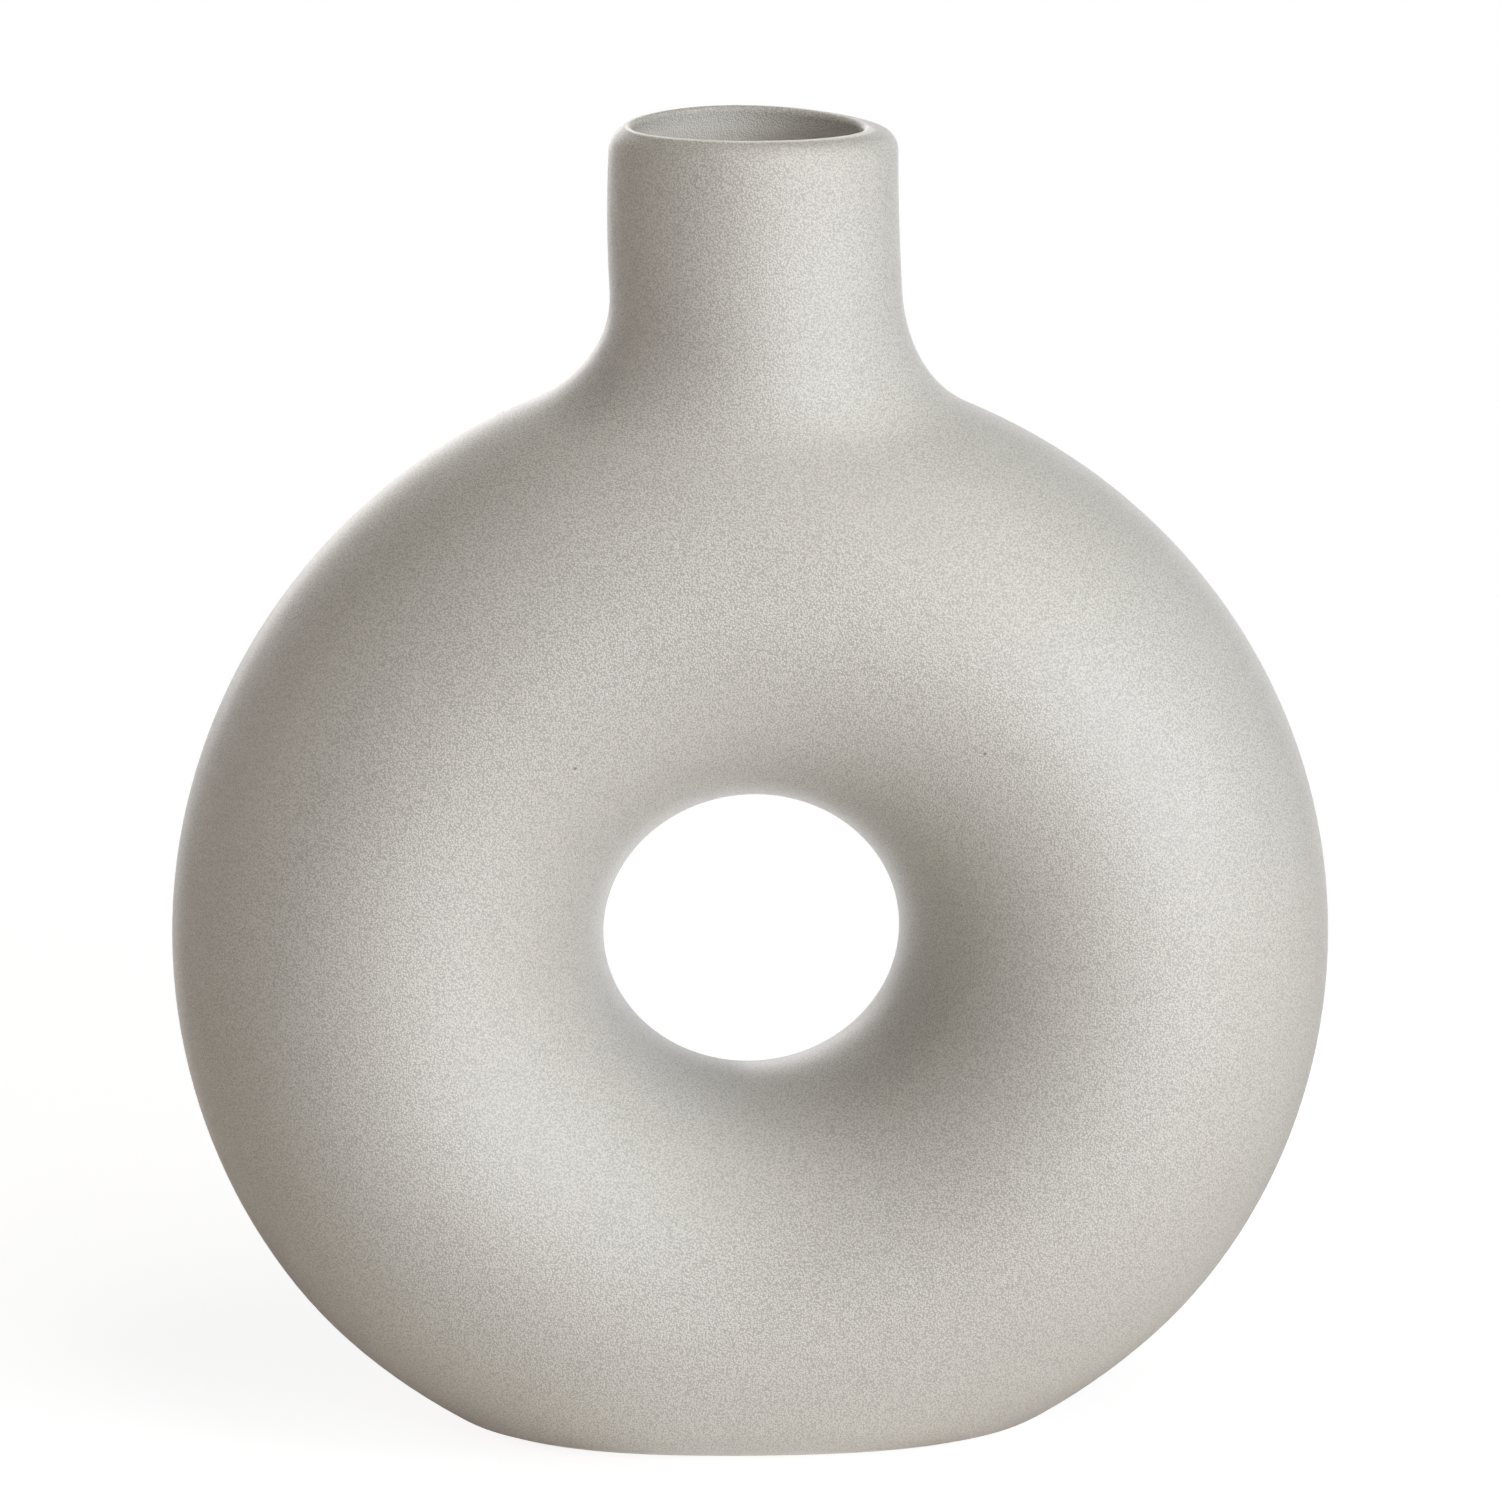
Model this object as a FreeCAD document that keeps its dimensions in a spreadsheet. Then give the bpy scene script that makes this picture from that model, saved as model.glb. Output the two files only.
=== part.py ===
import FreeCAD, Part
import math
import os
import Sketcher

# A donut vase: a hollow stoneware ring, cut flat below to stand upright, with a round neck on its shoulder.
# It is put together from four clay pieces: two pressed half rings that meet on the upright parting plane,
# a thrown neck that sits on their collar, and a foot slab that closes the ring below.
# Front is -Y and up is +Z. The origin lies on the table, under the middle of the foot.

# Driving sizes in millimetres: name, value, what it measures
SIZES = (
    ("ring_diameter", 175.0, "ring across, seen from the front"),
    ("hole_diameter", 45.0, "hole through the ring where it is narrowest"),
    ("ring_depth", 76.0, "ring from front to back"),
    ("underside_cut", 11.0, "how much of the round ring the flat underside takes off"),
    ("body_wall", 5.0, "clay wall of the ring"),
    ("neck_diameter", 43.6, "neck across"),
    ("neck_wall", 4.4, "clay wall of the neck"),
    ("neck_rise", 36.0, "top of the lip above the top of the round ring"),
    ("lip_outer_share", 0.68, "share of the neck's wall that the lip's outer curve takes"),
    ("flare_radius", 19.0, "hollow curve between neck and ring"),
    ("collar_rise", 1.0, "straight collar between the flare and the neck's seat"),
    ("seat_bevel", 2.5, "drop of the slanted neck seat from outside to inside"),
    ("foot_thickness", 6.0, "slab that closes the ring below"),
    ("foot_edge_radius", 17.0, "soft edge around the standing face"),
    ("foot_land", 11.0, "standing face, from the recess to where the unrounded edge would be"),
    ("foot_recess", 1.5, "depth of the hollow under the foot"),
    ("cut_overrun", 3.0, "how far a cutting shape reaches past what it cuts"),
)

# Sizes and places that follow from the driving ones: name, formula
DERIVED = (
    ("ring_radius", "Sizes.ring_diameter / 2"),
    ("hole_radius", "Sizes.hole_diameter / 2"),
    ("tube_line_radius", "(ring_radius + hole_radius) / 2"),
    ("tube_half_width", "(ring_radius - hole_radius) / 2"),
    ("tube_half_depth", "Sizes.ring_depth / 2"),
    ("cavity_radius", "ring_radius - Sizes.body_wall"),
    ("cavity_half_width", "tube_half_width - Sizes.body_wall"),
    ("cavity_half_depth", "tube_half_depth - Sizes.body_wall"),
    ("ring_centre_height", "ring_radius - Sizes.underside_cut"),
    ("neck_root_height", "ring_centre_height + tube_line_radius"),
    ("neck_radius", "Sizes.neck_diameter / 2"),
    ("mouth_radius", "neck_radius - Sizes.neck_wall"),
    ("cavity_flare_radius", "Sizes.flare_radius + Sizes.body_wall"),
    ("flare_top", "sqrt((ring_radius + Sizes.flare_radius) ^ 2 - (neck_radius + Sizes.flare_radius) ^ 2)"),
    ("cavity_flare_top", "sqrt((cavity_radius + cavity_flare_radius) ^ 2"
                         " - (mouth_radius + cavity_flare_radius) ^ 2)"),
    ("seat_height", "ring_centre_height + max(flare_top; cavity_flare_top) + Sizes.collar_rise + Sizes.seat_bevel"),
    ("seat_slope", "Sizes.neck_wall / Sizes.seat_bevel"),
    ("lip_height", "ring_centre_height + ring_radius + Sizes.neck_rise"),
    ("lip_outer_radius", "Sizes.neck_wall * Sizes.lip_outer_share"),
    ("foot_half_length", "sqrt(ring_radius ^ 2 - ring_centre_height ^ 2)"),
    ("foot_half_depth", "tube_half_depth * sqrt(1 - (1 - Sizes.underside_cut / tube_half_width) ^ 2)"),
    ("recess_half_length", "foot_half_length - Sizes.foot_land"),
    ("recess_half_depth", "foot_half_depth - Sizes.foot_land"),
)

# Edges that differ from a wanted place by less than this, in millimetres, lie on it
TOLERANCE = 0.001

Vector = FreeCAD.Vector
doc = FreeCAD.newDocument("donut_vase")


def fill_sheets():
    """Writes the driving sizes, and the formulas that follow from them, into two sheets."""
    sizes = doc.addObject("Spreadsheet::Sheet", "Sizes")
    for row, (alias, number, meaning) in enumerate(SIZES, start=1):
        sizes.set("A%d" % row, meaning)
        sizes.set("B%d" % row, str(number))
        sizes.setAlias("B%d" % row, alias)
    doc.recompute()
    derived = doc.addObject("Spreadsheet::Sheet", "Derived")
    for row, (alias, formula) in enumerate(DERIVED, start=1):
        derived.set("A%d" % row, alias)
        derived.set("B%d" % row, "=" + formula)
        derived.setAlias("B%d" % row, alias)
        doc.recompute()


def value(name):
    """A sheet's present number, where a sketch needs a first place or an edge is looked for."""
    sheet, alias = name.split(".")
    return float(getattr(doc.getObject(sheet), alias))


def new_sketch(body, name, plane, height=None):
    """A sketch on one of the body's own origin planes, raised along its normal by the formula height."""
    sketch = body.newObject("Sketcher::SketchObject", name)
    support = [item for item in body.Origin.OriginFeatures if item.Role == plane]
    sketch.AttachmentSupport = [(support[0], "")]
    sketch.MapMode = "FlatFace"
    if height:
        sketch.setExpression("AttachmentOffset.Base.z", height)
    return sketch


def hold(sketch, *constraint):
    """Adds one constraint to the sketch and returns its number."""
    return sketch.addConstraint(Sketcher.Constraint(*constraint))


def dimension(sketch, name, formula, *constraint):
    """A named dimension of the sketch, tied to the sheets by its formula."""
    index = hold(sketch, *constraint)
    sketch.renameConstraint(index, name)
    sketch.setExpression("Constraints." + name, formula)


def draw_circle(sketch, radius):
    """A circle around the sketch's origin."""
    circle = sketch.addGeometry(Part.Circle(Vector(), Vector(0, 0, 1), value(radius)), False)
    hold(sketch, "Coincident", circle, 3, -1, 1)
    dimension(sketch, "radius", radius, "Radius", circle, value(radius))


def draw_ellipse(sketch, half_x, half_y, centre=None):
    """An ellipse on the sketch's origin, or on its X axis at the distance centre."""
    middle = Vector(value(centre) if centre else 0, 0, 0)
    side = middle + Vector(value(half_x), 0, 0)
    top = middle + Vector(0, value(half_y), 0)
    upright = value(half_y) > value(half_x)
    long_end, short_end = (top, side) if upright else (side, top)
    long_half, short_half = (half_y, half_x) if upright else (half_x, half_y)
    ellipse = sketch.addGeometry(Part.Ellipse(long_end, short_end, middle), False)
    sketch.exposeInternalGeometry(ellipse)
    long_axis = ellipse + 1
    short_axis = ellipse + 2
    hold(sketch, "Vertical" if upright else "Horizontal", long_axis)
    dimension(sketch, "long_axis", "2 * " + long_half, "Distance", long_axis, 2 * value(long_half))
    dimension(sketch, "short_axis", "2 * " + short_half, "Distance", short_axis, 2 * value(short_half))
    if centre:
        hold(sketch, "PointOnObject", ellipse, 3, -1)
        dimension(sketch, "centre", centre, "DistanceX", -1, 1, ellipse, 3, value(centre))
    else:
        hold(sketch, "Coincident", ellipse, 3, -1, 1)


def revolve(body, sketch, name):
    """A full turn of the sketch around its own upright axis."""
    feature = body.newObject("PartDesign::Revolution", name)
    feature.Profile = sketch
    feature.ReferenceAxis = (sketch, ["V_Axis"])
    feature.Angle = 360
    doc.recompute()
    return feature


def pad(body, sketch, name, length):
    """Grows the sketch upwards by the formula length."""
    feature = body.newObject("PartDesign::Pad", name)
    feature.Profile = sketch
    feature.setExpression("Length", length)
    doc.recompute()
    return feature


def cut_below(body, sketch, name):
    """Takes away everything under the sketch, and checks that something went."""
    before = body.Shape.Volume
    feature = body.newObject("PartDesign::Pocket", name)
    feature.Profile = sketch
    feature.Type = "ThroughAll"
    doc.recompute()
    if body.Shape.Volume >= before:
        raise RuntimeError(name + " takes nothing away")
    return feature


def round_edges(body, base, name, wanted, radius):
    """Rounds the edges of base for which wanted(edge) is true."""
    names = ["Edge%d" % count for count, edge in enumerate(base.Shape.Edges, start=1) if wanted(edge)]
    feature = body.newObject("PartDesign::Fillet", name)
    feature.Base = (base, names)
    feature.setExpression("Radius", radius)
    doc.recompute()
    return feature


def is_neck_root(edge, radius):
    """True for the curved line where a neck of that radius enters the ring: it is neither level nor upright."""
    box = edge.BoundBox
    points = edge.discretize(9)
    around = all(abs(Vector(point.x, point.y, 0).Length - radius) < TOLERANCE for point in points)
    return around and box.ZLength > TOLERANCE and box.XLength > TOLERANCE


def is_standing_edge(edge):
    """True for the outline of the flat underside."""
    return abs(edge.BoundBox.ZMin) < TOLERANCE and abs(edge.BoundBox.ZMax) < TOLERANCE


def build_ring_form(name, half_width, half_depth, neck_radius, flare_radius, neck_top):
    """A solid ring of oval section whose round neck flares into its shoulder with one hollow curve."""
    body = doc.addObject("PartDesign::Body", name)
    section = new_sketch(body, name + "_section", "XY_Plane", "Derived.ring_centre_height")
    draw_ellipse(section, half_width, half_depth, "Derived.tube_line_radius")
    revolve(body, section, name + "_ring")
    circle = new_sketch(body, name + "_neck_circle", "XY_Plane", "Derived.neck_root_height")
    draw_circle(circle, neck_radius)
    neck = pad(body, circle, name + "_neck", neck_top + " - Derived.neck_root_height")
    radius = value(neck_radius)
    round_edges(body, neck, name + "_flare", lambda edge: is_neck_root(edge, radius), flare_radius)
    return body


def build_outer_form():
    """The vase's outside up to the neck's seat, cut flat below, with the standing edge softened."""
    body = build_ring_form("outer_form", "Derived.tube_half_width", "Derived.tube_half_depth",
                           "Derived.neck_radius", "Sizes.flare_radius", "Derived.seat_height")
    plate = new_sketch(body, "standing_plane", "XY_Plane")
    draw_circle(plate, "Derived.ring_radius")
    cut = cut_below(body, plate, "flat_underside")
    round_edges(body, cut, "standing_edge", is_standing_edge, "Sizes.foot_edge_radius")
    return body


def build_cavity_form():
    """The hollow inside, one wall smaller all round, which leaves through the neck's seat."""
    return build_ring_form("cavity_form", "Derived.cavity_half_width", "Derived.cavity_half_depth",
                           "Derived.mouth_radius", "Derived.cavity_flare_radius",
                           "Derived.seat_height + Sizes.cut_overrun")


def build_seat_cone():
    """The slanted seat that is cut into the collar, wider and deeper than the collar itself."""
    cone = doc.addObject("Part::Cone", "seat_cone")
    cone.setExpression("Radius1", "Derived.mouth_radius - Derived.seat_slope * Sizes.cut_overrun")
    cone.setExpression("Radius2", "Derived.neck_radius + Derived.seat_slope * Sizes.cut_overrun")
    cone.setExpression("Height", "Sizes.seat_bevel + 2 * Sizes.cut_overrun")
    cone.setExpression("Placement.Base.z", "Derived.seat_height - Sizes.seat_bevel - Sizes.cut_overrun")
    return cone


def build_block(name, low, high, first_y, last_y):
    """A block wider than the ring, between two heights and two depths given as formulas."""
    block = doc.addObject("Part::Box", name)
    block.setExpression("Length", "Sizes.ring_diameter + 2 * Sizes.cut_overrun")
    block.setExpression("Width", "(%s) - (%s)" % (last_y, first_y))
    block.setExpression("Height", "(%s) - (%s)" % (high, low))
    block.setExpression("Placement.Base.x", "-Derived.ring_radius - Sizes.cut_overrun")
    block.setExpression("Placement.Base.y", first_y)
    block.setExpression("Placement.Base.z", low)
    return block


def combine(kind, name, base, tool):
    """A boolean of two shapes, where kind is Part::Cut or Part::Common."""
    result = doc.addObject(kind, name)
    result.Base = base
    result.Tool = tool
    doc.recompute()
    return result


def build_ring_halves(outer_form, cavity_form, seat_cone):
    """The hollow ring above the foot, parted upright: a front half and, face to face with it, its mirror image."""
    hollow = combine("Part::Cut", "hollow_ring", outer_form, cavity_form)
    seated = combine("Part::Cut", "seated_ring", hollow, seat_cone)
    block = build_block("front_block", "Sizes.foot_thickness", "Derived.seat_height + Sizes.cut_overrun",
                        "-Derived.tube_half_depth - Sizes.cut_overrun", "0")
    front = combine("Part::Common", "ring_front_half", seated, block)
    back = doc.addObject("Part::Mirroring", "ring_back_half")
    back.Source = front
    back.Normal = Vector(0, 1, 0)
    doc.recompute()
    return [front, back]


def build_neck():
    """The neck: a straight tube with a rounded lip, slanted below to fit the collar's seat."""
    body = doc.addObject("PartDesign::Body", "neck")
    sketch = new_sketch(body, "neck_profile", "XZ_Plane")
    inside = value("Derived.mouth_radius")
    outside = value("Derived.neck_radius")
    seat = value("Derived.seat_height")
    lip = value("Derived.lip_height")
    outer_curve = value("Derived.lip_outer_radius")
    crest = outside - outer_curve
    inner_curve = crest - inside
    inner_foot = Vector(inside, seat - value("Sizes.seat_bevel"), 0)
    outer_foot = Vector(outside, seat, 0)
    outer_top = Vector(outside, lip - outer_curve, 0)
    inner_top = Vector(inside, lip - inner_curve, 0)
    across = Vector(0, 0, 1)
    outer_circle = Part.Circle(Vector(crest, lip - outer_curve, 0), across, outer_curve)
    inner_circle = Part.Circle(Vector(crest, lip - inner_curve, 0), across, inner_curve)
    quarter = math.pi / 2
    bevel = sketch.addGeometry(Part.LineSegment(inner_foot, outer_foot), False)
    outer_wall = sketch.addGeometry(Part.LineSegment(outer_foot, outer_top), False)
    outer_lip = sketch.addGeometry(Part.ArcOfCircle(outer_circle, 0, quarter), False)
    inner_lip = sketch.addGeometry(Part.ArcOfCircle(inner_circle, quarter, 2 * quarter), False)
    inner_wall = sketch.addGeometry(Part.LineSegment(inner_top, inner_foot), False)
    hold(sketch, "Coincident", bevel, 2, outer_wall, 1)
    hold(sketch, "Coincident", outer_wall, 2, outer_lip, 1)
    hold(sketch, "Coincident", outer_lip, 2, inner_lip, 1)
    hold(sketch, "Coincident", inner_lip, 2, inner_wall, 1)
    hold(sketch, "Coincident", inner_wall, 2, bevel, 1)
    hold(sketch, "Vertical", outer_wall)
    hold(sketch, "Vertical", inner_wall)
    hold(sketch, "Horizontal", outer_lip, 3, outer_wall, 2)
    hold(sketch, "Vertical", outer_lip, 3, outer_lip, 2)
    hold(sketch, "Vertical", inner_lip, 3, inner_lip, 1)
    hold(sketch, "Horizontal", inner_lip, 3, inner_wall, 1)
    dimension(sketch, "outside", "Derived.neck_radius", "DistanceX", -1, 1, bevel, 2, outside)
    dimension(sketch, "inside", "Derived.mouth_radius", "DistanceX", -1, 1, bevel, 1, inside)
    dimension(sketch, "seat", "Derived.seat_height", "DistanceY", -1, 1, bevel, 2, seat)
    dimension(sketch, "slant", "Sizes.seat_bevel", "DistanceY", bevel, 1, bevel, 2, value("Sizes.seat_bevel"))
    dimension(sketch, "lip", "Derived.lip_height", "DistanceY", -1, 1, outer_lip, 2, lip)
    dimension(sketch, "lip_curve", "Derived.lip_outer_radius", "Radius", outer_lip, outer_curve)
    revolve(body, sketch, "neck_turned")
    return body


def build_foot(outer_form):
    """The foot slab: the lowest slice of the outside, hollowed below so that it stands on an oval ring."""
    slice_block = build_block("foot_block", "-Sizes.cut_overrun", "Sizes.foot_thickness",
                              "-Derived.tube_half_depth - Sizes.cut_overrun",
                              "Derived.tube_half_depth + Sizes.cut_overrun")
    slab = combine("Part::Common", "foot_slab", outer_form, slice_block)
    hollow = doc.addObject("PartDesign::Body", "foot_hollow")
    oval = new_sketch(hollow, "foot_oval", "XY_Plane", "-Sizes.cut_overrun")
    draw_ellipse(oval, "Derived.recess_half_length", "Derived.recess_half_depth")
    pad(hollow, oval, "foot_hollow_pad", "Sizes.cut_overrun + Sizes.foot_recess")
    return combine("Part::Cut", "foot", slab, hollow)


def build_vase():
    """Makes all pieces and returns them in the order in which the vase is put together."""
    fill_sheets()
    outer_form = build_outer_form()
    cavity_form = build_cavity_form()
    foot = build_foot(outer_form)
    halves = build_ring_halves(outer_form, cavity_form, build_seat_cone())
    return [foot] + halves + [build_neck()]


def check_document():
    """Stops at any object that didn't come out."""
    doc.recompute()
    for item in doc.Objects:
        if "Invalid" in item.State or "Error" in item.State:
            raise RuntimeError("%s is %s" % (item.Name, item.State))


def write_pieces(pieces):
    """Checks that each piece is one sound solid and writes its file."""
    os.makedirs("parts", exist_ok=True)
    for piece in pieces:
        piece.Label = piece.Name
        shape = piece.Shape
        if shape.isNull() or not shape.isValid() or len(shape.Solids) != 1:
            raise RuntimeError(piece.Label + " isn't one sound solid")
        shape.exportStep("parts/%s.step" % piece.Label)
        box = shape.optimalBoundingBox()
        print("%-16s volume %7.0f, across %6.2f %6.2f %6.2f, from height %6.2f" % (
            piece.Label, shape.Volume, box.XLength, box.YLength, box.ZLength, box.ZMin))


pieces = build_vase()
check_document()
write_pieces(pieces)
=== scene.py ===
"""A donut vase of glazed stoneware: the glazed body, its bare clay foot and a plain white studio."""
from math import acos, asin, atan2, cos, hypot, pi, radians, sin, sqrt

import bmesh
import bpy
from mathutils import Matrix, Vector


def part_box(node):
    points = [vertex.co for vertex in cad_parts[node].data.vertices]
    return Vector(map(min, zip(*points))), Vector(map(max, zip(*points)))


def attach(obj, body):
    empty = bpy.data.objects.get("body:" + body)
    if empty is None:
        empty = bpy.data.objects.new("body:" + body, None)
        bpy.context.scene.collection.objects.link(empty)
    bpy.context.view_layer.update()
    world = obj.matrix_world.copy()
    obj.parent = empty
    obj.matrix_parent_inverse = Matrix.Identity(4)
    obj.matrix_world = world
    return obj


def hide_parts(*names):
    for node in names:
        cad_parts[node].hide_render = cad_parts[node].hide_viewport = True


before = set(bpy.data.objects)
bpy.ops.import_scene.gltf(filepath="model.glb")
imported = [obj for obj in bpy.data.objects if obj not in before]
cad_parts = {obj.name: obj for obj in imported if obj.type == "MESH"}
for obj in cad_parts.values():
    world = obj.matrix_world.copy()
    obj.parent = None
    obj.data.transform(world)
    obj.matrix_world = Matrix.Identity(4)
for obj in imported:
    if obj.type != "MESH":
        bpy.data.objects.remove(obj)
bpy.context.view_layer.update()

bl_info = {
    "name": "Donut vase",
    "version": (1, 0, 0),
    "blender": (4, 5, 0),
    "location": "View3D > Sidebar > Donut vase",
    "description": "Makes a glazed ring vase with a bare clay foot, and a plain studio round it",
    "category": "Object",
}

RING_LOW, RING_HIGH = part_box("ring_front_half")
NECK_LOW, NECK_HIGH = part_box("neck")
FOOT_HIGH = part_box("foot")[1]
QUARTER = pi / 2
MM = 0.001

# What the camera and the lamps look at
VASE_MIDDLE = Vector((0, 0, 0.095))

# Steps of the clay mesh
STEPS_AROUND_RING = 192
STEPS_AROUND_SECTION = 128
NECK_BLOCK = (12, 16)
FOOT_BLOCK = (17, 25)
FLARE_ROWS = 14
WALL_ROWS = 14
LIP_ROWS = 14
INNER_LIP_ROWS = 5
FOOT_EDGE_ROWS = 10
GLAZE_END_ROWS = 3
BARE_EDGE_ROWS = 8
BISECT_STEPS = 44

# The grid settles round an opened block out to this many times the block's size, and a
# vertex whose level differs from 1 by no more than ON_RIM is on the block's rim
SETTLE_REACH = 2.0
ON_RIM = 1e-4
WELD_DISTANCE = 0.002 * MM

# The painted highlight along the lip: how far down it reaches, and how it grows from back to front
PAINTED_HIGHLIGHT_REACH = 2.4 * MM
PAINTED_HIGHLIGHT_FRONT = (-0.35, 0.7)

# Where glaze and bare clay end: how thick the glaze is there, how far the clay lies back and
# goes on behind the glaze, how high the hidden closing faces lie, and the rounding of the
# hollow under the foot
GLAZE_THICKNESS = 0.25 * MM
CLAY_INSET = 0.2 * MM
CLAY_BEHIND_GLAZE = 0.5 * MM
BODY_CAP_HEIGHT = 3.0 * MM
FOOT_CAP_HEIGHT = 3.3 * MM
RECESS_ROLL = 0.5 * MM

# The soft lamps: watts, degrees round from the front (first to the right), degrees up, tint
LAMPS = {
    "key_lamp": (10.4, 45, 5, (0.92, 1.0, 1.17)),
    "front_lamp": (7.5, 28, 5, (1.04, 1.0, 1.00)),
    "top_lamp": (8.2, 45, 62, (1.02, 1.0, 0.92)),
    "left_lamp": (4.6, -105, 5, (1.12, 1.0, 0.97)),
    "back_lamp": (2.4, -165, 8, (1.05, 1.0, 0.97)),
}

# In gloss the room shows white behind the vase only, and the table behind and in front of it:
# the white fades in as a direction's backward part grows from the first value to the second
WHITE_IN_GLOSS = (0.65, 0.95)

# The table: its half width, where it fades from shadowed white to plain white, its colour,
# and how much of its seen white comes from the lamps and how much from a glow of its own
TABLE_HALF_WIDTH = 6.0
TABLE_FADE = (0.16, 0.40)
TABLE_COLOUR = (0.94, 0.89, 0.835)
TABLE_LIT = (0.34, 0.34, 0.34)
TABLE_GLOW = 0.87

# Patterns of the finishes: clouds, specks, grains and pores to the metre
GLAZE_CLOUDS = 24.0
GLAZE_SPECKS = 150.0
CLAY_GRAINS = 1500.0
CLAY_CLOUDS = 60.0
CLAY_PORES = 420.0

# The glaze: tint of its clouds, edge of a speck and share of the cells without one, how far
# the painted light covers the inside of the neck and how light it is, edge of the lip's painted
# highlight, and roughness between the grains and on them
GLAZE_CLOUD_TINT = (0.965, 0.955, 0.940)
SPECK_EDGE = (0.030, 0.050)
SPECK_FREE = (0.90, 0.91)
INNER_COVER = 0.85
INNER_LEVEL = 0.93
LIP_HIGHLIGHT_EDGE = (0.52, 0.66)
SAND_ROUGHNESS = (0.34, 0.28)

# The glaze's smooth top: how far the surface turns away where it sets in and where it is
# strongest, its strength there, and its roughness
SMOOTH_TOP_TURN = (0.62, 0.82)
SMOOTH_TOP_STRENGTH = 0.42
SMOOTH_TOP_ROUGHNESS = 0.22

# The bare clay: level of its darker grains, tint and strength of its clouds, edge, strength and
# level of the painted shade in its pores, height of its grain, and roughness
CLAY_GRAIN_LEVEL = 0.90
CLAY_CLOUD_TINT = (0.90, 0.87, 0.84)
CLAY_CLOUD_STRENGTH = 0.4
PORE_EDGE = (0.05, 0.12)
PORE_SHADE_STRENGTH = 0.55
PORE_SHADE_LEVEL = 0.45
CLAY_GRAIN_HEIGHT = 0.05 * MM
CLAY_ROUGHNESS = 0.5

# Film width in millimetres, and how far above and left of the vase's middle the camera looks
FILM_WIDTH = 36.0
AIM_ABOVE = 0.00928
AIM_LEFT = 0.00023

# Hand-made unevenness, in millimetres: how far the ring's rim stands out or in
# round the ring, and how far the lip stands up or down round the mouth
RING_DRIFT = ((0.20, 0), (-0.27, -0.20), (-0.20, -0.10), (0.40, -0.18), (-0.13, 0), (0.10, -0.08))
LIP_DRIFT = ((-0.08, 0), (0.25, -0.16), (0.26, 0.06), (-0.05, -0.02))

# How far the neck leans to the right and narrows, in millimetres: a level, a slope and a curve
# over its height, which counts from the first value of NECK_SPAN in lengths of the second
NECK_LEAN = (0.41, -0.80, 0.80)
NECK_NARROWING = (0.02, 0.17, 0.21)
NECK_SPAN = (0.180, 0.020)

# How far to the right of the middle the mouth was opened, in millimetres
MOUTH_SHIFT = -1.0

# Where each kind of unevenness sets in, and the length over which it grows; a length below 0
# grows inwards. The neck's kind reaches no further to the sides than NECK_REACH
RIM_FADE = (0.030, 0.0575)
TABLE_EDGE_FADE = (0.0, 0.025)
NECK_FADE = (0.156, 0.020)
NECK_REACH = 0.045
LIP_FADE = (0.184, 0.016)
MOUTH_FADE = (0.175, 0.020)
BORE_FADE = (0.0206, -0.0025)


class VaseSizes(bpy.types.PropertyGroup):
    ring_diameter: bpy.props.FloatProperty(
        name="Ring diameter", description="Width of the ring across the front",
        default=RING_HIGH.x - RING_LOW.x, unit="LENGTH")
    hole_diameter: bpy.props.FloatProperty(
        name="Hole diameter", description="Width of the hole through the ring",
        default=0.045, unit="LENGTH")
    ring_depth: bpy.props.FloatProperty(
        name="Ring depth", description="Depth of the ring from front to back",
        default=-2 * RING_LOW.y, unit="LENGTH")
    ring_centre_height: bpy.props.FloatProperty(
        name="Hole height", description="Height of the middle of the hole above the table",
        default=0.0765, unit="LENGTH")
    body_wall: bpy.props.FloatProperty(
        name="Body wall", description="Thickness of the clay in the ring", default=0.005, unit="LENGTH")
    neck_diameter: bpy.props.FloatProperty(
        name="Neck diameter", description="Width of the neck",
        default=NECK_HIGH.x - NECK_LOW.x, unit="LENGTH")
    neck_wall: bpy.props.FloatProperty(
        name="Neck wall", description="Thickness of the clay in the neck", default=0.0044, unit="LENGTH")
    lip_height: bpy.props.FloatProperty(
        name="Lip height", description="Height of the lip above the table",
        default=NECK_HIGH.z, unit="LENGTH")
    lip_roll: bpy.props.FloatProperty(
        name="Lip roll", description="Outer rounding of the lip", default=0.0035, unit="LENGTH")
    flare_radius: bpy.props.FloatProperty(
        name="Flare radius", description="Hollow curve between neck and ring", default=0.019, unit="LENGTH")
    foot_edge_radius: bpy.props.FloatProperty(
        name="Foot edge radius", description="Rounding between the ring and the table",
        default=0.017, unit="LENGTH")
    floor_thickness: bpy.props.FloatProperty(
        name="Floor thickness", description="Thickness of the clay under the hollow",
        default=FOOT_HIGH.z, unit="LENGTH")
    glaze_end: bpy.props.FloatProperty(
        name="Glaze end", description="Height above the table at which the glaze stops",
        default=0.0021, unit="LENGTH")
    recess_length: bpy.props.FloatProperty(
        name="Recess half length", description="Half the length of the hollow under the foot",
        default=0.03147, unit="LENGTH")
    recess_depth: bpy.props.FloatProperty(
        name="Recess half depth",
        description="Half the width of the hollow under the foot, from front to back",
        default=0.0175, unit="LENGTH")
    recess_rise: bpy.props.FloatProperty(
        name="Recess rise", description="How far the hollow under the foot goes up",
        default=0.0015, unit="LENGTH")
    hand_share: bpy.props.FloatProperty(
        name="Hand finish", description="How uneven the pot is: 0 true, 1 as finished by hand",
        default=1.0, min=0, max=2)


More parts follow.
